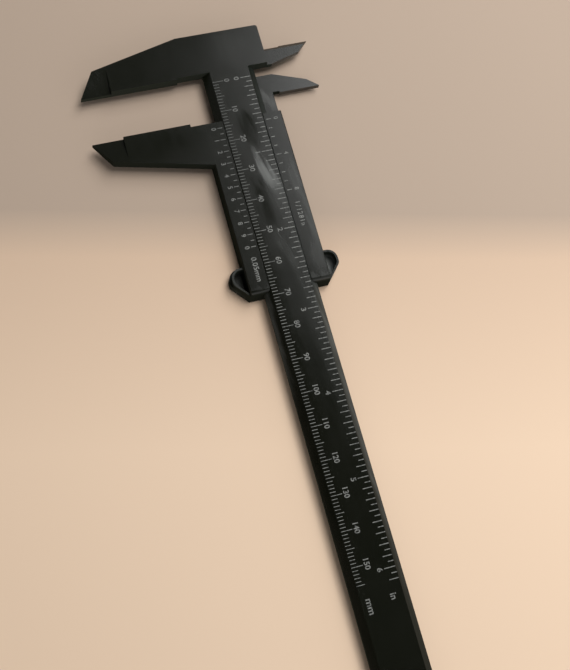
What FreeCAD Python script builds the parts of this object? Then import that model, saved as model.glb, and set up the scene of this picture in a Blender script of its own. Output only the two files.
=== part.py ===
import FreeCAD, Part
import math
import os
import re
import Sketcher

# A moulded 150 mm vernier caliper. X runs along the beam from the jaws to the tail, Y across it towards the
# inside jaws, and Z out of the scale face. The origin is the zero of the millimetre scale, on the centreline
# of the front face. The slider and its depth rod are drawn at a reading of zero and moved out to the reading.
sizes = {
    # how far a cut or a joined pad runs past the face it meets
    "overlap": 1.0,
    # beam
    "beam_face_half": 6.0,
    "beam_bevel": 2.0,
    "beam_thick": 3.2,
    "beam_tail": 213.0,
    "groove_wide": 3.6,
    "groove_deep": 1.6,
    "groove_start": 33.0,
    # head and outside jaws
    "head_top": 16.95,
    "head_root": 3.6,
    "head_side": 12.4,
    "head_bend": 13.6,
    "jaw_face": 3.05,
    "jaw_relief_end": 16.0,
    "jaw_step": 36.3,
    "jaw_tip": 45.6,
    "fixed_shoulder": 10.8,
    "fixed_shoulder_out": 40.7,
    "slide_shoulder": 4.35,
    "slide_shoulder_out": 40.9,
    "slide_heel": 11.3,
    "tip_drop": 1.7,
    "corner_round": 0.8,
    "root_round": 0.6,
    # inside jaws
    "inside_face": 9.8,
    "inside_relief": 0.45,
    "inside_tip": 27.0,
    "fixed_step": 17.8,
    "fixed_blade_thick": 1.6,
    "fixed_blade_edge": 0.6,
    "fixed_blade_bevel": 1.3,
    "fixed_blade_wide": 3.7,
    "fixed_blade_shoulder": 23.2,
    "fixed_blade_heel": 14.0,
    "slide_step": 14.2,
    "slide_blade_thick": 1.75,
    "slide_blade_wide": 6.6,
    "slide_blade_neck": 2.8,
    "slide_blade_shoulder": 23.6,
    "slide_blade_heel": 13.4,
    # slider
    "reading": 15.3,
    "slide_gap": 0.2,
    "back_gap": 0.1,
    "slider_half": 12.1,
    "slider_plate": 3.1,
    "slider_front": 2.15,
    "slider_tail": 53.4,
    "tongue_left": 4.0,
    "tongue_round": 3.0,
    "rail_chamfer": 0.3,
    "tail_round": 1.2,
    # thumb lugs
    "lug_long": 9.2,
    "lug_slant": 4.6,
    "lug_out": 3.95,
    "lug_wall": 0.6,
    "lug_round": 3.0,
    "lug_knee": 2.4,
    "lug_rim_drop": 1.2,
    "lug_floor": 1.0,
    "lug_foot": 0.6,
    # depth rod
    "rod_side_gap": 0.15,
    "rod_roof_gap": 0.1,
    "rod_thick": 1.3,
    "rod_foot_long": 15.3,
    "notch_long": 6.0,
    "notch_deep": 1.0,
    "stud_radius": 1.0,
    "stud_back": 4.3,
    "stud_pitch": 7.0,
    "stud_sink": 0.4,
}

doc = FreeCAD.newDocument("vernier_caliper")
sheet = doc.addObject("Spreadsheet::Sheet", "sizes")
for row, (alias, value) in enumerate(sizes.items(), start=1):
    sheet.set(f"A{row}", alias)
    sheet.set(f"B{row}", str(value))
    sheet.setAlias(f"B{row}", alias)
doc.recompute()


# Points each size that a formula names at its cell.
def formula(text):
    def point(match):
        word = match.group()
        return f"sizes.{word}" if word in sizes else word
    return re.sub(r"[a-z_]+", point, text)


def new_body(name):
    body = doc.addObject("PartDesign::Body", name)
    body.Label = name
    return body


# A sketch on one of the body's own origin planes, moved along that plane's normal.
def new_sketch(body, name, role, offset="0"):
    sketch = body.newObject("Sketcher::SketchObject", name)
    plane = next(item for item in body.Origin.OriginFeatures if item.Role == role)
    sketch.AttachmentSupport = [(plane, "")]
    sketch.MapMode = "FlatFace"
    sketch.setExpression(".AttachmentOffset.Base.z", formula(offset))
    return sketch


# Ties one end of a line, or the centre of a circle, to the sketch's origin with two formulas.
def place_point(sketch, geometry, end, across, up):
    point = sketch.getPoint(geometry, end)
    for kind, start, text in (("DistanceX", point.x, across), ("DistanceY", point.y, up)):
        index = sketch.addConstraint(Sketcher.Constraint(kind, -1, 1, geometry, end, start))
        sketch.setExpression(f"Constraints[{index}]", formula(text))


# A closed outline through corners given as pairs of formulas. It is drawn as a regular polygon first, and
# the constraints take each corner to its place.
def outline(sketch, corners):
    first = sketch.GeometryCount
    count = len(corners)
    turns = [math.tau * k / count + 0.1 for k in range(count)]
    start = [FreeCAD.Vector(math.cos(turn), math.sin(turn), 0) for turn in turns]
    for k in range(count):
        sketch.addGeometry(Part.LineSegment(start[k], start[(k + 1) % count]), False)
    for k in range(count):
        sketch.addConstraint(Sketcher.Constraint("Coincident", first + k, 2, first + (k + 1) % count, 1))
    for k, (across, up) in enumerate(corners):
        place_point(sketch, first + k, 1, across, up)


def circle(sketch, across, up, radius):
    unit = Part.Circle(FreeCAD.Vector(1, 1, 0), FreeCAD.Vector(0, 0, 1), 1)
    index = sketch.addGeometry(unit, False)
    place_point(sketch, index, 3, across, up)
    size = sketch.addConstraint(Sketcher.Constraint("Radius", index, 1))
    sketch.setExpression(f"Constraints[{size}]", formula(radius))


def pad(body, sketch, length, down=False):
    feature = body.newObject("PartDesign::Pad", f"{sketch.Name}_pad")
    feature.Profile = sketch
    feature.Reversed = down
    feature.setExpression("Length", formula(length))
    sketch.Visibility = False
    doc.recompute()


# A pocket goes against its sketch's normal unless it is flipped, and has to take something away.
def pocket(body, sketch, length, flip=False):
    before = body.Shape.Volume
    feature = body.newObject("PartDesign::Pocket", f"{sketch.Name}_cut")
    feature.Profile = sketch
    feature.Reversed = flip
    feature.setExpression("Length", formula(length))
    sketch.Visibility = False
    doc.recompute()
    if body.Shape.Volume >= before:
        raise RuntimeError(f"{feature.Name} removes nothing")


def near(value, target):
    return abs(value - target) < 0.01


# Fillets or chamfers the edges that wanted() picks by their two end points, all with one size.
def dress(body, name, kind, size, wanted):
    tip = body.Tip
    ends = [(edge.Vertexes[0].Point, edge.Vertexes[-1].Point) for edge in tip.Shape.Edges]
    names = [f"Edge{k}" for k, (first, last) in enumerate(ends, start=1) if wanted(first, last)]
    if not names:
        raise RuntimeError(f"{body.Name} has no edge for {name}")
    feature = body.newObject(f"PartDesign::{kind}", name)
    feature.Base = (tip, names)
    feature.setExpression("Radius" if kind == "Fillet" else "Size", formula(size))
    doc.recompute()


# Rounds the upright edges whose X and Y the test stands() accepts.
def round_upright(body, name, radius, stands):
    def wanted(first, last):
        upright = near(first.x, last.x) and near(first.y, last.y) and not near(first.z, last.z)
        return upright and stands(first.x, first.y)
    dress(body, name, "Fillet", radius, wanted)


# Thins the knife-edge tip of an outside jaw: a slope from the jaw's back edge down to its measuring edge.
def thin_tip(body, name, back_edge, face, beyond):
    section = new_sketch(body, name, "XZ_Plane", "jaw_step")
    outline(section, [(back_edge, "0"), (face, "-tip_drop"), (beyond, "-tip_drop"), (beyond, "overlap"),
                      (back_edge, "overlap")])
    pocket(body, section, "jaw_tip - jaw_step + overlap", flip=True)


def make_beam():
    body = new_body("beam")
    section = new_sketch(body, "beam_section", "YZ_Plane", "-head_root - overlap")
    outline(section, [
        ("-beam_face_half", "0"), ("beam_face_half", "0"),
        ("beam_face_half + beam_bevel", "-beam_bevel"), ("beam_face_half + beam_bevel", "-beam_thick"),
        ("-beam_face_half - beam_bevel", "-beam_thick"), ("-beam_face_half - beam_bevel", "-beam_bevel")])
    pad(body, section, "beam_tail + head_root + overlap")

    head = new_sketch(body, "head_outline", "XY_Plane")
    outline(head, [
        ("-head_top", "head_side"), ("-head_top", "-head_bend"), ("-fixed_shoulder", "-fixed_shoulder_out"),
        ("-jaw_face", "-jaw_tip"), ("-jaw_face", "-jaw_relief_end"), ("-head_root", "-jaw_relief_end"),
        ("-head_root", "head_side")])
    pad(body, head, "beam_thick", down=True)
    thin_tip(body, "fixed_tip_section", "-fixed_shoulder", "-jaw_face", "-jaw_face + overlap")

    blade = new_sketch(body, "fixed_blade", "XY_Plane", "-beam_thick")
    outline(blade, [
        ("-inside_face + inside_relief", "head_side - overlap"), ("-inside_face + inside_relief", "fixed_step"),
        ("-inside_face", "fixed_step"), ("-inside_face", "inside_tip"),
        ("-inside_face + fixed_blade_wide", "fixed_blade_shoulder"),
        ("-head_root", "fixed_blade_heel"), ("-head_root", "head_side - overlap")])
    pad(body, blade, "fixed_blade_thick")
    bevel = new_sketch(body, "fixed_blade_bevel_section", "XZ_Plane", "-head_side")
    outline(bevel, [
        ("-inside_face - overlap", "-beam_thick + fixed_blade_edge"),
        ("-inside_face", "-beam_thick + fixed_blade_edge"),
        ("-inside_face + fixed_blade_bevel", "-beam_thick + fixed_blade_thick"),
        ("-inside_face + fixed_blade_bevel", "0"), ("-inside_face - overlap", "0")])
    pocket(body, bevel, "inside_tip - head_side + overlap")

    groove = new_sketch(body, "rod_groove", "XY_Plane", "-beam_thick")
    outline(groove, [
        ("groove_start", "-groove_wide / 2"), ("beam_tail + overlap", "-groove_wide / 2"),
        ("beam_tail + overlap", "groove_wide / 2"), ("groove_start", "groove_wide / 2")])
    pocket(body, groove, "groove_deep", flip=True)

    beam_half = sizes["beam_face_half"] + sizes["beam_bevel"]
    round_upright(body, "head_corners", "corner_round", lambda x, y: (
        near(x, -sizes["head_top"]) or near(y, -sizes["fixed_shoulder_out"])))
    round_upright(body, "head_roots", "root_round", lambda x, y: (
        near(x, -sizes["head_root"]) and near(abs(y), beam_half)))
    return body


# The two thumb lugs at the slider's tail: a thin wall round a deep core with a closed floor. The wall leaves
# the rail square, turns along it and slants back to the tail corner. Its foot, as high as the slider's plate,
# stands out of the wall except along the slant.
def add_lugs(body, back):
    slant = "sqrt(lug_slant ^ 2 + lug_out ^ 2)"
    core_tail = f"slider_tail - lug_wall * {slant} / lug_out"
    core_knee = f"{core_tail} - (lug_out - lug_wall) * lug_slant / lug_out"
    core_start = "slider_tail - lug_long + lug_wall"
    wall_in = "(slider_half - overlap)"
    core_out = "(slider_half + lug_out - lug_wall)"
    for name, side in (("left", "-"), ("right", "")):
        for layer, extra, high in (("foot", "lug_foot", "slider_plate"), ("wall", "0", f"{back} - lug_rim_drop")):
            start, knee = f"slider_tail - lug_long - {extra}", f"(lug_out + {extra}) * lug_slant / lug_out"
            out = f"{side}(slider_half + lug_out + {extra})"
            lug = new_sketch(body, f"{name}_lug_{layer}", "XY_Plane", f"-({back})")
            outline(lug, [
                (start, side + wall_in), (start, out), (f"slider_tail - {knee}", out),
                ("slider_tail", f"{side}slider_half"), ("slider_tail", side + wall_in)])
            pad(body, lug, high)
        core = new_sketch(body, f"{name}_core", "XY_Plane", "-lug_rim_drop")
        outline(core, [
            (core_start, f"{side}slider_half"), (core_start, side + core_out),
            (core_knee, side + core_out), (core_tail, f"{side}slider_half")])
        pocket(body, core, f"{back} - lug_rim_drop - lug_floor")
    # how far each layer's outline lies outside the wall, and what its rounds add to the wall's
    layers = (
        ("core", -sizes["lug_wall"], "- lug_wall", "- lug_wall"), ("wall", 0.0, "", ""),
        ("foot", sizes["lug_foot"], "+ lug_foot", "- lug_foot"))
    for name, extra, corner, knee in layers:
        outside = sizes["slider_half"] + sizes["lug_out"] + extra
        first = sizes["slider_tail"] - sizes["lug_long"] - extra
        round_upright(body, f"{name}_corners", f"lug_round {corner}", lambda x, y: (
            near(abs(y), outside) and near(x, first)))
        round_upright(body, f"{name}_knees", f"lug_knee {knee}", lambda x, y: (
            near(abs(y), outside) and not near(x, first)))


def make_slider():
    body = new_body("slider")
    body.setExpression("Placement.Base.x", formula("reading"))
    channel = new_sketch(body, "channel_section", "YZ_Plane", "-slider_front")
    back = "beam_thick + back_gap + slider_plate"
    flank_top = "beam_face_half + slide_gap * sqrt(2)"
    flank_foot = "beam_face_half + beam_bevel + slide_gap"
    flank_drop = "beam_bevel + slide_gap - slide_gap * sqrt(2)"
    outline(channel, [
        ("-slider_half", "0"), (f"-({flank_top})", "0"), (f"-({flank_foot})", f"-({flank_drop})"),
        (f"-({flank_foot})", "-beam_thick - back_gap"), (flank_foot, "-beam_thick - back_gap"),
        (flank_foot, f"-({flank_drop})"), (flank_top, "0"), ("slider_half", "0"),
        ("slider_half", f"-({back})"), ("-slider_half", f"-({back})")])
    pad(body, channel, "slider_tail + slider_front")
    half, tail = sizes["slider_half"], sizes["slider_tail"]
    dress(body, "tail_edges", "Fillet", "tail_round", lambda first, last: (
        near(first.z, 0) and near(last.z, 0) and near(first.x, tail) and near(last.x, tail)))
    dress(body, "rail_edges", "Chamfer", "rail_chamfer", lambda first, last: (
        near(first.z, 0) and near(last.z, 0) and near(first.y, last.y) and near(abs(first.y), half)))

    jaw = new_sketch(body, "slide_jaw", "XY_Plane")
    outline(jaw, [
        ("-slider_front", "-slider_half + overlap"), ("-slider_front", "-jaw_relief_end"),
        ("-jaw_face", "-jaw_relief_end"), ("-jaw_face", "-jaw_tip"),
        ("slide_shoulder", "-slide_shoulder_out"), ("slide_heel", "-slider_half"),
        ("slide_heel", "-slider_half + overlap")])
    pad(body, jaw, "beam_thick", down=True)
    thin_tip(body, "slide_tip_section", "slide_shoulder", "-jaw_face", "-jaw_face - overlap")

    tongue = new_sketch(body, "tongue", "XY_Plane", "-beam_thick - back_gap")
    outline(tongue, [
        ("-inside_face - slide_blade_wide", "-tongue_left"), ("-inside_face - slide_blade_wide", "slider_half"),
        ("-slider_front + overlap", "slider_half"), ("-slider_front + overlap", "-tongue_left")])
    pad(body, tongue, "slider_plate", down=True)
    blade = new_sketch(body, "slide_blade", "XY_Plane", "-beam_thick - back_gap")
    outline(blade, [
        ("-inside_face - slide_blade_wide", "slider_half - overlap"),
        ("-inside_face - slide_blade_wide", "slide_blade_heel"),
        ("-inside_face - slide_blade_neck", "slide_blade_shoulder"), ("-inside_face", "inside_tip"),
        ("-inside_face", "slide_step"), ("-inside_face - inside_relief", "slide_step"),
        ("-inside_face - inside_relief", "slider_half - overlap")])
    pad(body, blade, "slide_blade_thick", down=True)

    round_upright(body, "jaw_shoulder", "corner_round", lambda x, y: near(y, -sizes["slide_shoulder_out"]))
    round_upright(body, "tongue_corners", "tongue_round", lambda x, y: near(y, -sizes["tongue_left"]))
    add_lugs(body, back)

    holes = new_sketch(body, "stud_holes", "XY_Plane", "-beam_thick - back_gap")
    circle(holes, "slider_tail - stud_back", "0", "stud_radius")
    circle(holes, "slider_tail - stud_back - stud_pitch", "0", "stud_radius")
    pocket(body, holes, "slider_plate")
    return body


def make_rod():
    body = new_body("depth_rod")
    body.setExpression("Placement.Base.x", formula("reading"))
    half = "groove_wide / 2 - rod_side_gap"
    root = "slider_tail - rod_foot_long"
    bar = new_sketch(body, "rod_bar", "XY_Plane", "-beam_thick + groove_deep - rod_roof_gap")
    outline(bar, [
        (root, f"-({half})"), ("beam_tail - notch_long", f"-({half})"),
        ("beam_tail - notch_long", f"-({half}) + notch_deep"), ("beam_tail", f"-({half}) + notch_deep"),
        ("beam_tail", half), (root, half)])
    pad(body, bar, "rod_thick", down=True)
    foot = new_sketch(body, "rod_foot", "XY_Plane", "-beam_thick - back_gap")
    outline(foot, [
        (root, f"-({half})"), ("slider_tail", f"-({half})"), ("slider_tail", half), (root, half)])
    pad(body, foot, "back_gap + groove_deep - rod_roof_gap - rod_thick")
    studs = new_sketch(body, "studs", "XY_Plane", "-beam_thick - back_gap")
    circle(studs, "slider_tail - stud_back", "0", "stud_radius")
    circle(studs, "slider_tail - stud_back - stud_pitch", "0", "stud_radius")
    pad(body, studs, "slider_plate - stud_sink", down=True)
    return body


bodies = [make_beam(), make_slider(), make_rod()]
doc.recompute()
for item in doc.Objects:
    if "Invalid" in item.State or "Error" in item.State:
        raise RuntimeError(f"{item.Name}: {item.State}")
for body in bodies:
    if body.Shape.isNull() or not body.Shape.isValid() or len(body.Shape.Solids) != 1:
        raise RuntimeError(f"{body.Label} is not one valid solid")

os.makedirs("parts", exist_ok=True)
for body in bodies:
    body.Shape.exportStep(f"parts/{body.Label}.step")
    box = body.Shape.BoundBox
    print(f"{body.Label}: {body.Shape.Volume:.1f} mm3, X {box.XMin:.2f} to {box.XMax:.2f}, "
          f"Y {box.YMin:.2f} to {box.YMax:.2f}, Z {box.ZMin:.2f} to {box.ZMax:.2f}")
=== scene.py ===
import bmesh
import bpy
import math
from mathutils import Matrix, Vector


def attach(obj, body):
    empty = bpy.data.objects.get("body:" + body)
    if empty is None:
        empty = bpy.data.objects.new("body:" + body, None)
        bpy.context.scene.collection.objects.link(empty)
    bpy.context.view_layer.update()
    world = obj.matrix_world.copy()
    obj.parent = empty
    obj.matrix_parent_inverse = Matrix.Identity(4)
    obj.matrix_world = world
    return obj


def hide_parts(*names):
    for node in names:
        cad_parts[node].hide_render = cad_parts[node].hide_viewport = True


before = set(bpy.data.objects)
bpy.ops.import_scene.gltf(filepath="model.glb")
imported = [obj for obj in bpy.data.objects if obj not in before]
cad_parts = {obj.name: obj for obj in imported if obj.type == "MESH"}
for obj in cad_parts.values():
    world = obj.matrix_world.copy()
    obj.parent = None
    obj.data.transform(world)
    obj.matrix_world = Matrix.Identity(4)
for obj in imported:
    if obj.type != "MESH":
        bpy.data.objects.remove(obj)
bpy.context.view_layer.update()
mm = 0.001  # lengths and places below are in millimetres
print("frame loaded")


# sRGB hex to linear colour
def toLinear(code):
    channels = [int(code[k:k + 2], 16) / 255 for k in (1, 3, 5)]
    linear = [c / 12.92 if c < 0.04045 else ((c + 0.055) / 1.055) ** 2.4 for c in channels]
    return tuple(linear) + (1.0,)


# adds a node; inputs take a value, or a (node, output) pair to link
def addNode(tree, kind, inputs=None, **settings):
    node = tree.nodes.new(kind)
    for name, value in settings.items():
        setattr(node, name, value)
    for socket, value in (inputs or {}).items():
        if isinstance(value, tuple) and isinstance(value[0], bpy.types.Node):
            tree.links.new(value[0].outputs[value[1]], node.inputs[socket])
        else:
            node.inputs[socket].default_value = value
    return node


def newMaterial(name):
    material = bpy.data.materials.new(name)
    material.use_nodes = True
    material.node_tree.nodes.clear()
    return material, material.node_tree


def paint(piece, material):
    piece.data.materials.clear()
    piece.data.materials.append(material)


def toPiece(name, mesh, body, material):
    piece = bpy.data.objects.new(name, mesh)
    bpy.context.scene.collection.objects.link(piece)
    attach(piece, body)
    paint(piece, material)
    return piece


# the black plastic; a range says at which values of its noise a mark starts and is full
blackPlastic = {
    "surface": "moulded",
    "dark": "#090b04",
    "light": "#10110a",
    "roughness": (0.21, 0.25),
    "ior": 1.5,
    "gloss": 0.5,
    "grain": 0.35,              # spark-eroded mould grain, drawn a little coarse so that it shows
    "grainDepth": 0.0007,
    "smudge": 14.0,             # handling marks
    "smudgeRange": (0.3, 0.7),
    "ripple": 34.0,             # sink and flow of the long moulding
    "rippleDepth": 0.03,
    "scratch": (26.0, 0.22),    # length and width of the hairlines left by the slide
    "scratchTurn": 1.5,         # degrees off the beam
    "scratchRange": (0.62, 0.74),
    "scratchRough": 0.04,
    "sideRough": 0.12,          # the drafted sides leave the mould duller than the faces
    "sideRange": (0.85, 0.4),   # of the z of the direction they face
    "greaseAndPaintedLight": "#8f918e",          # a paler film: painted light and sheen, with grease in the beam's streaks
    "wipe": (9.0, 1.3, 8.0),    # length, width and turn of the streaks in a smear
    "wipeRange": (0.33, 0.67),
    "wipeLeast": 0.45,          # what is left of a smear between its streaks
    "ragged": (3.0, 1.6, 0.0),  # how far a smear's outline wanders
    "soft": 0.75,               # how far in from its edge a smear is full, of its half size
}
# the side walls drag on the mould as a part comes out of it, which leaves them matt; their paler
# colour is painted light
draggedWallPaintedLight = dict(
    blackPlastic, surface="dragged walls of the", dark="#2f322b", light="#363932",
    roughness=(0.45, 0.55), gloss=0.0, sideRough=0.0)
# those of the slide lie close over the floor; their darker colour is painted shade
slideWallPaintedShade = dict(draggedWallPaintedLight, dark="#22251f", light="#282b25")
# the flank under the inch scale, greyer and less glossy than the faces: its grey is painted light
flankPaintedLight = dict(
    blackPlastic, surface="flank in painted light of the", dark="#181b17", light="#1d201c",
    roughness=(0.3, 0.36), gloss=0.06, sideRough=0.0)

# middle, half size, turn in degrees, added roughness (below 0 is rubbed shiny), film: a paler base
# colour, painted light and sheen (grease too in the beam's streaks)
smearsAndPaintedLight = {
    "beam": [
        ((37.0, 3.6, 0.0), (12.0, 4.2, 3.0), 12.0, 0.02, 0.07),    # thumbed middle of the face: grease, with painted sheen in its streaks
        ((31.3, 2.0, 0.0), (9.8, 2.0, 3.0), 12.0, 0.1, 0.38),
        ((33.3, 3.9, 0.0), (7.0, 1.3, 3.0), 12.0, 0.08, 0.22),
        ((57.0, 1.4, 0.0), (10.0, 2.0, 3.0), 13.0, 0.02, 0.05),
        ((42.0, -0.8, 0.0), (12.0, 3.8, 3.0), 4.0, -0.12, 0.0),    # rubbed beside it
        ((18.0, 1.2, 0.0), (10.0, 5.0, 3.0), 0.0, -0.11, 0.0),
        ((150.0, 0.0, 0.0), (85.0, 11.0, 3.0), 0.0, -0.08, 0.0),   # the tail
        ((95.0, -5.5, 0.0), (80.0, 4.5, 3.0), 0.0, -0.09, 0.0),    # both edges of the face
        # painted highlight along the face beside the inch scale
        ((66.0, 5.2, 0.0), (62.0, 4.5, 3.0), 0.0, 0.0, 0.045),
        ((80.0, -8.2, -1.8), (26.0, 2.0, 3.0), 0.0, 0.0, 0.12),    # both flanks: painted light
        ((80.0, 7.6, -1.2), (100.0, 2.4, 3.0), 0.0, 0.0, 0.21),
        ((6.0, 7.6, -1.7), (15.0, 2.6, 2.4), 0.0, 0.4, 0.0),
        ((-11.0, 2.0, 0.0), (9.0, 9.0, 3.0), 0.0, 0.0, 0.035),     # the head: painted light
        ((-8.5, -41.5, 0.0), (9.0, 7.0, 4.0), 0.0, 0.07, 0.01),    # the tip of the outside jaw
        ((-4.5, 23.0, -3.1), (4.0, 11.0, 1.6), 0.0, 0.1, 0.3),     # the inside jaw: painted light on its wall
        ((-7.0, 21.0, -1.6), (9.0, 16.0, 1.0), 0.0, 0.06, 0.0),
    ],
    "slide": [
        ((36.0, 10.4, 0.0), (10.0, 2.2, 2.0), 4.0, 0.04, 0.08),    # the rail beside the inch scale: painted sheen
        ((62.0, 9.8, 0.0), (9.0, 2.8, 2.0), 4.0, 0.02, 0.05),
        ((46.0, 9.6, 0.0), (26.0, 5.0, 2.0), 2.0, 0.0, 0.015),
        ((50.0, 11.6, 0.0), (22.0, 2.0, 2.0), 2.0, 0.0, 0.09),
        # painted sheen on the plate beside the rail
        ((7.6, 10.1, -3.3), (6.0, 2.0, 2.0), 28.0, 0.05, 0.16),
        ((17.5, -34.0, -1.0), (10.0, 40.0, 4.0), 0.0, -0.05, 0.0),  # the outside jaw
        ((7.0, 24.0, -6.2), (4.0, 10.0, 1.6), 0.0, 0.1, 0.2),      # the inside jaw: painted light on its wall
        ((3.0, 21.0, -4.6), (9.0, 16.0, 1.0), 0.0, 0.06, 0.0),
        ((68.3, 9.5, -0.5), (2.4, 9.0, 1.6), 0.0, 0.14, 0.04),     # the tail ends of the rails; painted light on the right one's round
        ((68.3, -9.5, -0.5), (2.4, 9.0, 1.6), 0.0, 0.1, 0.0),
        ((62.0, 14.6, -5.6), (9.0, 3.6, 3.0), 0.0, 0.0, 0.6),      # painted light in the hollows of the thumb lugs, and on the left lug
        ((62.0, -14.6, -5.6), (9.0, 3.6, 3.0), 0.0, 0.0, 0.1),
        ((62.5, -14.8, -1.0), (9.0, 5.0, 1.0), 0.0, 0.0, 0.12),
    ],
    "rod": [
        ((190.0, 0.0, -6.0), (24.0, 3.0, 3.0), 4.0, 0.06, 0.05),
    ],
}


# Satin black ABS, injection moulded in a finely eroded mould: a low, even gloss, which smudges,
# greasy smears and fine hairlines along the beam break up; paler film spots paint light and sheen
# on it.
def moulded(name, look, offset, marks):
    material, tree = newMaterial(name)
    place = addNode(tree, "ShaderNodeTexCoord")
    shifted = addNode(tree, "ShaderNodeMapping", {"Vector": (place, "Object"), "Location": offset})

    smudge = addNode(tree, "ShaderNodeTexNoise", {
        "Vector": (shifted, 0), "Scale": 1 / (look["smudge"] * mm), "Detail": 5.0,
        "Roughness": 0.62, "Distortion": 0.6})
    tone = addNode(tree, "ShaderNodeMix", {
        0: (smudge, 0), 6: toLinear(look["dark"]), 7: toLinear(look["light"])}, data_type="RGBA")
    start, full = look["smudgeRange"]
    low, high = look["roughness"]
    soft = addNode(tree, "ShaderNodeMapRange", {
        "Value": (smudge, 0), "From Min": start, "From Max": full, "To Min": low, "To Max": high})

    length, width = look["scratch"]
    stretch = addNode(tree, "ShaderNodeMapping", {
        "Vector": (shifted, 0), "Rotation": (0, 0, math.radians(look["scratchTurn"])),
        "Scale": (length * mm, width * mm, width * mm)}, vector_type="TEXTURE")
    hairline = addNode(tree, "ShaderNodeTexNoise", {
        "Vector": (stretch, 0), "Scale": 1.0, "Detail": 3.0})
    start, full = look["scratchRange"]
    scratched = addNode(tree, "ShaderNodeMapRange", {
        "Value": (hairline, 0), "From Min": start, "From Max": full})
    worn = addNode(tree, "ShaderNodeMath", {
        0: (scratched, 0), 1: look["scratchRough"], 2: (soft, 0)}, operation="MULTIPLY_ADD")

    facing = addNode(tree, "ShaderNodeSeparateXYZ", {0: (place, "Normal")})
    start, full = look["sideRange"]
    sides = addNode(tree, "ShaderNodeMapRange", {
        "Value": (facing, "Z"), "From Min": start, "From Max": full, "To Max": look["sideRough"]})
    rough = addNode(tree, "ShaderNodeMath", {0: (worn, 0), 1: (sides, 0)}, operation="ADD")

    length, width, turn = look["wipe"]
    wiped = addNode(tree, "ShaderNodeMapping", {
        "Vector": (shifted, 0), "Rotation": (0, 0, math.radians(turn)),
        "Scale": (length * mm, width * mm, length * mm)}, vector_type="TEXTURE")
    streaks = addNode(tree, "ShaderNodeTexNoise", {
        "Vector": (wiped, 0), "Scale": 1.0, "Detail": 3.0})
    start, full = look["wipeRange"]
    streaky = addNode(tree, "ShaderNodeMapRange", {
        "Value": (streaks, 0), "From Min": start, "From Max": full, "To Min": look["wipeLeast"]})
    # half a unit each way, which the 2 below makes a whole one
    wander = addNode(tree, "ShaderNodeVectorMath", {
        0: (streaks, 1), 1: (0.5, 0.5, 0.5)}, operation="SUBTRACT")
    outline = addNode(tree, "ShaderNodeVectorMath", {
        0: (wander, 0), 1: [2 * c * mm for c in look["ragged"]], 2: (place, "Object")},
        operation="MULTIPLY_ADD")
    for middle, half, angle, duller, greaseAndPaintedLight in marks:
        spot = addNode(tree, "ShaderNodeMapping", {
            "Vector": (outline, 0), "Location": [c * mm for c in middle],
            "Rotation": (0, 0, math.radians(angle)), "Scale": [c * mm for c in half]},
            vector_type="TEXTURE")
        ball = addNode(tree, "ShaderNodeTexGradient", {
            "Vector": (spot, 0)}, gradient_type="SPHERICAL")
        within = addNode(tree, "ShaderNodeMapRange", {
            "Value": (ball, "Fac"), "From Max": look["soft"]}, interpolation_type="SMOOTHSTEP")
        greaseAndSheenMask = addNode(tree, "ShaderNodeMath", {
            0: (within, 0), 1: (streaky, 0)}, operation="MULTIPLY")
        if duller:
            rough = addNode(tree, "ShaderNodeMath", {
                0: (greaseAndSheenMask, 0), 1: duller, 2: (rough, 0)}, operation="MULTIPLY_ADD")
        # the film paints light and sheen into the base colour
        if greaseAndPaintedLight:
            greaseAndLightAmount = addNode(tree, "ShaderNodeMath", {
                0: (greaseAndSheenMask, 0), 1: greaseAndPaintedLight}, operation="MULTIPLY")
            tone = addNode(tree, "ShaderNodeMix", {
                0: (greaseAndLightAmount, 0), 6: (tone, 2), 7: toLinear(look["greaseAndPaintedLight"])}, data_type="RGBA")

    ripple = addNode(tree, "ShaderNodeTexNoise", {
        "Vector": (shifted, 0), "Scale": 1 / (look["ripple"] * mm), "Detail": 1.0})
    wave = addNode(tree, "ShaderNodeBump", {
        "Height": (ripple, 0), "Strength": 1.0, "Distance": look["rippleDepth"] * mm})
    grain = addNode(tree, "ShaderNodeTexNoise", {
        "Vector": (shifted, 0), "Scale": 1 / (look["grain"] * mm), "Detail": 2.0,
        "Roughness": 0.6})
    bump = addNode(tree, "ShaderNodeBump", {
        "Height": (grain, 0), "Strength": 1.0, "Distance": look["grainDepth"] * mm,
        "Normal": (wave, 0)})
    shader = addNode(tree, "ShaderNodeBsdfPrincipled", {
        "Base Color": (tone, 2), "Roughness": (rough, 0), "IOR": look["ior"],
        "Specular IOR Level": look["gloss"], "Normal": (bump, 0)})
    addNode(tree, "ShaderNodeOutputMaterial", {"Surface": (shader, 0)})
    return material


# how far the patterns of a moulding are shifted, in metres, so that no two are alike, and the
# plastics of its faces, its walls and its flank; the walls' and the flank's colours are painted
# light and shade
finishes = {
    "beam": ((0, 0, 0), (blackPlastic, draggedWallPaintedLight, flankPaintedLight)),
    "slide": ((0.31, 0.17, 0.05), (blackPlastic, slideWallPaintedShade, flankPaintedLight)),
    "rod": ((0.11, 0.43, 0.2), (blackPlastic, draggedWallPaintedLight)),
}
plastics = {}
for name, (offset, looks) in finishes.items():
    plastics[name] = [
        moulded("black ABS, " + look["surface"] + " " + name, look, offset, smearsAndPaintedLight[name])
        for look in looks]
print("plastic ready")

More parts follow.
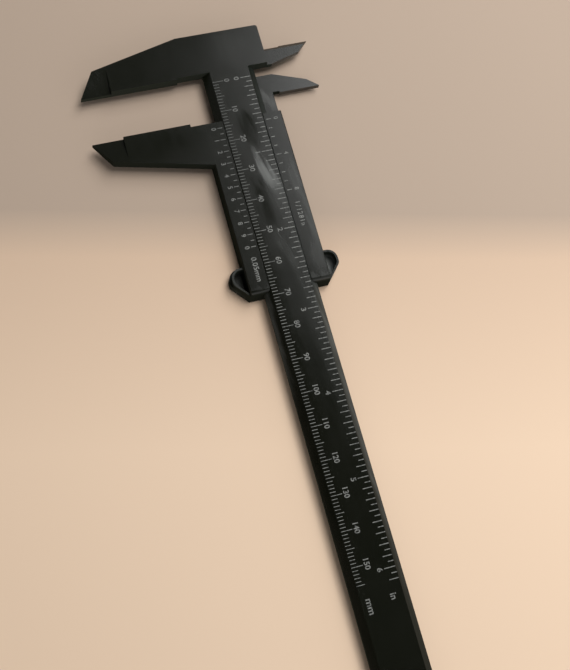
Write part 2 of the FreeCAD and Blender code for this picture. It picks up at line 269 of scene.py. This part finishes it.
# the three mouldings
mouldings = {
    "merge": 0.002,         # points of the CAD mesh closer than this are one
    "flat": 0.5,            # triangles that turn less than this, in degrees, are one face
    "edgeRound": 0.14,      # soft edges that every moulded part has
    "edgeSteps": 2,
    "edgeAngle": 24.0,      # edges sharper than this are rounded
    "stripWidth": 0.9,      # faces narrower than this are shaded round
    "wall": 0.5,            # walls face the front or the back less than this
    # before this x and beyond this y, on the inside jaws, use has polished the walls again
    "polished": (15.0, 14.0),
    # the x where the flank in painted light starts, and how far it turns to the inside jaws
    "flank": (20.0, 0.6),
    "pieces": [
        ("beamMoulding", "beam", "beam", "beam_plastic", plastics["beam"]),
        ("slideMoulding", "slider", "slider", "slider_plastic", plastics["slide"]),
        ("rodMoulding", "depth_rod", "slider", "rod_plastic", plastics["rod"]),
    ],
}


# A copy of the node with its edges rounded. Its faces take the first plastic, its walls the second
# and its flank the third; the walls' and the flank's colours are painted light and shade.
def roundedCopy(node, look):
    bm = bmesh.new()
    bm.from_mesh(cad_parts[node].data)
    bmesh.ops.remove_doubles(bm, verts=bm.verts, dist=look["merge"] * mm)
    bmesh.ops.dissolve_limit(
        bm, angle_limit=math.radians(look["flat"]), verts=bm.verts, edges=bm.edges)
    sharp = [e for e in bm.edges
             if len(e.link_faces) == 2 and e.calc_face_angle() > math.radians(look["edgeAngle"])]
    bmesh.ops.bevel(
        bm, geom=sharp, offset=look["edgeRound"] * mm, offset_type="OFFSET", affect="EDGES",
        segments=look["edgeSteps"], profile=0.5, material=-1, clamp_overlap=True, loop_slide=True)
    jawEnd, jawStart = look["polished"]
    flankStart, turned = look["flank"]
    for face in bm.faces:
        longest = max(e.calc_length() for e in face.edges)
        face.smooth = face.calc_area() / longest < look["stripWidth"] * mm
        middle = face.calc_center_median()
        onJaw = middle.x < jawEnd * mm and middle.y > jawStart * mm
        # walls take the second plastic, whose paler colour is painted light and shade
        face.material_index = 1 if abs(face.normal.z) < look["wall"] and not onJaw else 0
        # the flank takes the third plastic, whose grey is painted light
        onFlank = face.normal.z > look["wall"] and face.normal.y > turned
        if onFlank and middle.x > flankStart * mm:
            face.material_index = 2
    mesh = bpy.data.meshes.new(node)
    bm.to_mesh(mesh)
    bm.free()
    return mesh


for name, node, body, slot, (facePlastic, *otherPlastics) in mouldings["pieces"]:
    shape = roundedCopy(node, mouldings)
    plasticNumbers = [face.material_index for face in shape.polygons]
    moulding = toPiece(name, shape, body, facePlastic)
    for plastic in otherPlastics:
        moulding.data.materials.append(plastic)
    moulding.data.polygons.foreach_set("material_index", plasticNumbers)
    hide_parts(node)
    print(name, len(moulding.data.polygons), "faces")

# the printed marks
foil = {
    "fresh": "#777874",
    "worn": "#4c4d4b",
    "roughness": 0.5,
    "patch": 0.7,               # worn patches in the foil
    "patchRange": (0.36, 0.56),
    "thumbed": ((8.0, -6.0, 0.0), (60.0, 7.0, 4.0)),   # middle and half size of the rubbed stretch
    "thumbedSoft": 0.7,         # how far in from its edge it is rubbed most, of its half size
    "rubbed": 0.75,             # how much of the foil is gone there
    "thick": 0.03,
    "bolder": 0.018,            # added round a letter, of its size
    "curveSteps": 3,
}


# Hot-stamped grey foil: thin, a little patchy where the plastic did not take it.
def stampedFoil(name, look):
    material, tree = newMaterial(name)
    place = addNode(tree, "ShaderNodeTexCoord")
    patch = addNode(tree, "ShaderNodeTexNoise", {
        "Vector": (place, "Object"), "Scale": 1 / (look["patch"] * mm), "Detail": 3.0})
    start, full = look["patchRange"]
    kept = addNode(tree, "ShaderNodeMapRange", {
        "Value": (patch, 0), "From Min": start, "From Max": full})
    middle, half = look["thumbed"]
    spot = addNode(tree, "ShaderNodeMapping", {
        "Vector": (place, "Object"), "Location": [c * mm for c in middle],
        "Scale": [c * mm for c in half]}, vector_type="TEXTURE")
    ball = addNode(tree, "ShaderNodeTexGradient", {"Vector": (spot, 0)}, gradient_type="SPHERICAL")
    thumbed = addNode(tree, "ShaderNodeMapRange", {
        "Value": (ball, "Fac"), "From Max": look["thumbedSoft"], "To Min": 1.0,
        "To Max": 1.0 - look["rubbed"]})
    left = addNode(tree, "ShaderNodeMath", {0: (kept, 0), 1: (thumbed, 0)}, operation="MULTIPLY")
    tone = addNode(tree, "ShaderNodeMix", {
        0: (left, 0), 6: toLinear(look["worn"]), 7: toLinear(look["fresh"])}, data_type="RGBA")
    shader = addNode(tree, "ShaderNodeBsdfPrincipled", {
        "Base Color": (tone, 2), "Roughness": look["roughness"]})
    addNode(tree, "ShaderNodeOutputMaterial", {"Surface": (shader, 0)})
    return material


stampInk = stampedFoil("grey hot-stamping foil", foil)


# a tick: a flat bar from one y to the other, centred on x
def addTick(bm, x, start, end, width):
    place = Matrix.Translation(Vector((x, (start + end) / 2, 0)) * mm)
    size = Matrix.Diagonal((width * mm, abs(end - start) * mm, foil["thick"] * mm, 1))
    bmesh.ops.create_cube(bm, size=1.0, matrix=place @ size)


# words centred on (x, y), with their tops towards the inside jaws; a span squeezes them to that
# length
def addWords(bm, words, x, y, size, squeeze=1.0, span=None):
    curve = bpy.data.curves.new("words", "FONT")
    curve.body = words
    curve.size = size
    curve.offset = foil["bolder"] * size
    curve.extrude = foil["thick"] / 2
    curve.resolution_u = foil["curveSteps"]
    source = bpy.data.objects.new("words", curve)
    bpy.context.scene.collection.objects.link(source)
    bpy.context.view_layer.update()
    evaluated = source.evaluated_get(bpy.context.evaluated_depsgraph_get())
    mesh = bpy.data.meshes.new_from_object(evaluated)
    xs = [v.co.x for v in mesh.vertices]
    ys = [v.co.y for v in mesh.vertices]
    middle = Vector(((min(xs) + max(xs)) / 2, (min(ys) + max(ys)) / 2, 0))
    if span:
        squeeze = span / (max(xs) - min(xs))
    mesh.transform(Matrix.Translation(-middle))
    mesh.transform(Matrix.Diagonal((squeeze * mm, mm, mm, 1)))
    mesh.transform(Matrix.Translation(Vector((x, y, 0)) * mm))
    bm.from_mesh(mesh)
    bpy.data.objects.remove(source)
    bpy.data.curves.remove(curve)
    bpy.data.meshes.remove(mesh)


# a row of ticks that stand on a line, with the figures beside them and the unit at the end
def stampScale(name, look, body):
    bm = bmesh.new()
    for k in range(look["ticks"]):
        x = look["zero"] + k * look["pitch"]
        length = next(long for every, long in look["lengths"] if k % every == 0)
        addTick(bm, x, look["line"], look["line"] + length, look["width"])
        if k in look["figures"]:
            addWords(bm, look["figures"][k], x, look["figureY"], look["figureSize"],
                     look["squeeze"])
    for words in look["unit"]:
        addWords(bm, **words)
    mesh = bpy.data.meshes.new(name)
    bm.to_mesh(mesh)
    bm.free()
    marks = toPiece(name, mesh, body, stampInk)
    print(name, len(marks.data.polygons), "faces")


inch = 25.4
millimetreScale = {
    "zero": 0.0,
    "pitch": 1.0,
    "ticks": 156,
    "line": -5.95,
    "lengths": ((10, 3.3), (5, 2.4), (1, 1.65)),   # every so many ticks, this long
    "width": 0.175,
    "figures": {k: str(k) for k in range(0, 151, 10)},
    "figureY": -1.5,
    "figureSize": 2.2,
    "squeeze": 1.02,
    "unit": [dict(words="mm", x=161.0, y=-4.05, size=2.56, squeeze=1.12)],
}
stampScale("millimetreScale", millimetreScale, "beam")

inchScale = {
    "zero": 0.0,
    "pitch": inch / 16,
    "ticks": 99,
    "line": 5.95,
    "lengths": ((16, -3.2), (2, -2.7), (1, -1.65)),
    "width": 0.24,
    "figures": {16 * k: str(k) for k in range(7)},
    "figureY": 1.5,
    "figureSize": 2.1,
    "squeeze": 1.15,
    "unit": [dict(words="in", x=159.95, y=3.1, size=2.56)],
}
stampScale("inchScale", inchScale, "beam")

reading = 15.3   # how far the jaws are open, which is where both verniers have their zero
millimetreVernier = {
    "zero": reading,
    "pitch": 39.0 / 20,   # 20 steps on 39 mm, so that each is 0.05 mm short of 2 mm
    "ticks": 21,
    "line": -6.85,
    "lengths": ((2, -1.5), (1, -1.1)),
    "width": 0.24,
    "figures": {2 * k: str(k % 10) for k in range(11)},
    "figureY": -9.5,
    "figureSize": 2.0,
    "squeeze": 0.95,
    "unit": [dict(words="0.05mm", x=61.3, y=-8.55, size=2.2, span=7.6)],
}
stampScale("millimetreVernier", millimetreVernier, "slider")

inchVernier = {
    "zero": reading,
    "pitch": inch * 15 / 16 / 8,   # 8 steps on 15/16 in, so that each is 1/128 in short of 1/8 in
    "ticks": 9,
    "line": 6.85,
    "lengths": ((4, 1.5), (1, 1.1)),
    "width": 0.24,
    "figures": {k: str(k) for k in (0, 4, 8)},
    "figureY": 9.85,
    "figureSize": 1.85,
    "squeeze": 0.95,
    # letter by letter on an even pitch; the low n is set down to the others' line
    "unit": [dict(words=letter, x=43.5 + k * 1.18, y=8.54 if letter == "n" else 8.75, size=2.1,
                  squeeze=0.9) for k, letter in enumerate("1/128in")],
}
stampScale("inchVernier", inchVernier, "slider")

# The floor is a board in pale matt paint: a warm tone with soft shadows and no gloss, and painted
# light and shade in its tones.
floorLook = {
    "level": -6.45,             # just under the back of the slide
    "half": 6000.0,             # half the side of the board
    # tones along the board, from the head of the caliper towards its tail, painted light and
    # shade:
    # where each stands on the slope from the first to the last, and its colour
    "tones": [(0.0, "#b3a08f"), (0.204, "#d4b9a0"), (1.0, "#e8cdb2")],
    "slope": (41.9, 116.5),
    "tilt": -0.232,             # how far the tones' lines turn across the board
    "side": 0.79,               # painted shade: how much darker the board is beyond the outside jaws
    "sideSlope": (-95.0, 110.0),
    "roughness": 0.8,
}
material, tree = newMaterial("pale painted board")
place = addNode(tree, "ShaderNodeTexCoord")
slope = addNode(tree, "ShaderNodeVectorMath", {
    0: (place, "Object"), 1: (1.0, floorLook["tilt"], 0.0)}, operation="DOT_PRODUCT")
start, end = floorLook["slope"]
along = addNode(tree, "ShaderNodeMapRange", {
    "Value": (slope, "Value"), "From Min": start * mm, "From Max": end * mm})
ramp = addNode(tree, "ShaderNodeValToRGB", {0: (along, 0)})
stops = ramp.color_ramp.elements   # a new ramp already has a stop at each end
for at, tone in floorLook["tones"][1:-1]:
    stops.new(at)
for stop, (at, tone) in zip(stops, floorLook["tones"]):
    stop.color = toLinear(tone)
split = addNode(tree, "ShaderNodeSeparateXYZ", {0: (place, "Object")})
start, end = floorLook["sideSlope"]
across = addNode(tree, "ShaderNodeMapRange", {
    "Value": (split, "Y"), "From Min": start * mm, "From Max": end * mm,
    "To Min": floorLook["side"], "To Max": 1.0})
shaded = addNode(tree, "ShaderNodeVectorMath", {
    0: (ramp, 0), "Scale": (across, 0)}, operation="SCALE")
board = addNode(tree, "ShaderNodeBsdfPrincipled", {
    "Base Color": (shaded, 0), "Roughness": floorLook["roughness"]})
addNode(tree, "ShaderNodeOutputMaterial", {"Surface": (board, 0)})
bm = bmesh.new()
bmesh.ops.create_grid(bm, x_segments=1, y_segments=1, size=floorLook["half"] * mm,
                      matrix=Matrix.Translation((0, 0, floorLook["level"] * mm)))
mesh = bpy.data.meshes.new("floor")
bm.to_mesh(mesh)
bm.free()
floor = bpy.data.objects.new("floor", mesh)
bpy.context.scene.collection.objects.link(floor)
paint(floor, material)

# the light
studio = {
    # the room's brightness against the height of the direction, 0 at the horizon and 1 overhead
    "room": [(0.0, 0.25), (0.25, 0.5), (0.5, 0.5), (0.78, 0.06)],
    # and how it changes with the direction: where on the axis, and how bright at both ends
    "changes": [
        ("X", (0.1, 0.8), (1.0, 2.2)),        # a window beyond the beam's tail
        ("Y", (-0.95, -0.55), (0.05, 1.0)),   # a curtain on the side of the outside jaws
        ("X", (-0.78, -0.5), (0.3, 1.0)),     # a darker corner beyond the head
    ],
    "key": {"place": (-389, 474, 762), "aim": (40, -10, 0), "size": 500, "power": 2.85,
            "tint": "#ffffff", "gloss": True},
    # a large diffuser overhead, hung where its own reflection is flagged off the plastic
    "diffuser": {"place": (-20, 290, 1000), "aim": (40, -10, 0), "size": 660, "power": 9.3,
                 "tint": "#ffffff", "gloss": False},
}


def addLamp(name, look):
    lamp = bpy.data.lights.new(name, "AREA")
    lamp.shape = "DISK"
    lamp.size = look["size"] * mm
    lamp.energy = look["power"]
    lamp.color = toLinear(look["tint"])[:3]
    holder = bpy.data.objects.new(name, lamp)
    holder.location = Vector(look["place"]) * mm
    direction = (Vector(look["aim"]) - Vector(look["place"])).normalized()
    holder.rotation_euler = direction.to_track_quat("-Z", "Y").to_euler()
    holder.visible_glossy = look["gloss"]
    bpy.context.scene.collection.objects.link(holder)


addLamp("key", studio["key"])
addLamp("diffuser", studio["diffuser"])
world = bpy.data.worlds.new("studio")
world.use_nodes = True
tree = world.node_tree
tree.nodes.clear()
around = addNode(tree, "ShaderNodeTexCoord")
direction = addNode(tree, "ShaderNodeSeparateXYZ", {0: (around, "Generated")})
brightness = addNode(tree, "ShaderNodeValToRGB", {0: (direction, "Z")})
stops = brightness.color_ramp.elements
for at, bright in studio["room"][1:]:
    stops.new(at)
stops.remove(stops[-1])   # the stop at 1 that a new ramp has
for stop, (at, bright) in zip(stops, studio["room"]):
    stop.color = (bright, bright, bright, 1)
strength = None
for axis, (start, end), (low, high) in studio["changes"]:
    change = addNode(tree, "ShaderNodeMapRange", {
        "Value": (direction, axis), "From Min": start, "From Max": end, "To Min": low,
        "To Max": high})
    strength = addNode(tree, "ShaderNodeMath", {
        0: (strength, 0), 1: (change, 0)}, operation="MULTIPLY") if strength else change
sky = addNode(tree, "ShaderNodeBackground", {"Color": (brightness, 0), "Strength": (strength, 0)})
addNode(tree, "ShaderNodeOutputWorld", {"Surface": (sky, 0)})
bpy.context.scene.world = world
print("floor and light ready")

# the camera
view = {
    "place": (168.21, -69.97, 310.0),
    "right": (0.26528, 0.95612, 0.12436),
    "down": (0.928, -0.2182, -0.30201),
    "lens": 61.99,
    "sensor": 36.0,    # the height of the picture on it
    "nearest": 10.0,   # nothing closer than this is drawn
}
camera = bpy.data.cameras.new("camera")
camera.sensor_fit = "VERTICAL"
camera.sensor_height = view["sensor"]
camera.lens = view["lens"]
camera.clip_start = view["nearest"] * mm
holder = bpy.data.objects.new("camera", camera)
bpy.context.scene.collection.objects.link(holder)
right = Vector(view["right"]).normalized()
up = -Vector(view["down"]).normalized()
back = right.cross(up).normalized()
turn = Matrix((right, up, back)).transposed().to_4x4()
holder.matrix_world = Matrix.Translation(Vector(view["place"]) * mm) @ turn
bpy.context.scene.camera = holder
bpy.context.scene.view_settings.view_transform = "Standard"
print("camera ready")
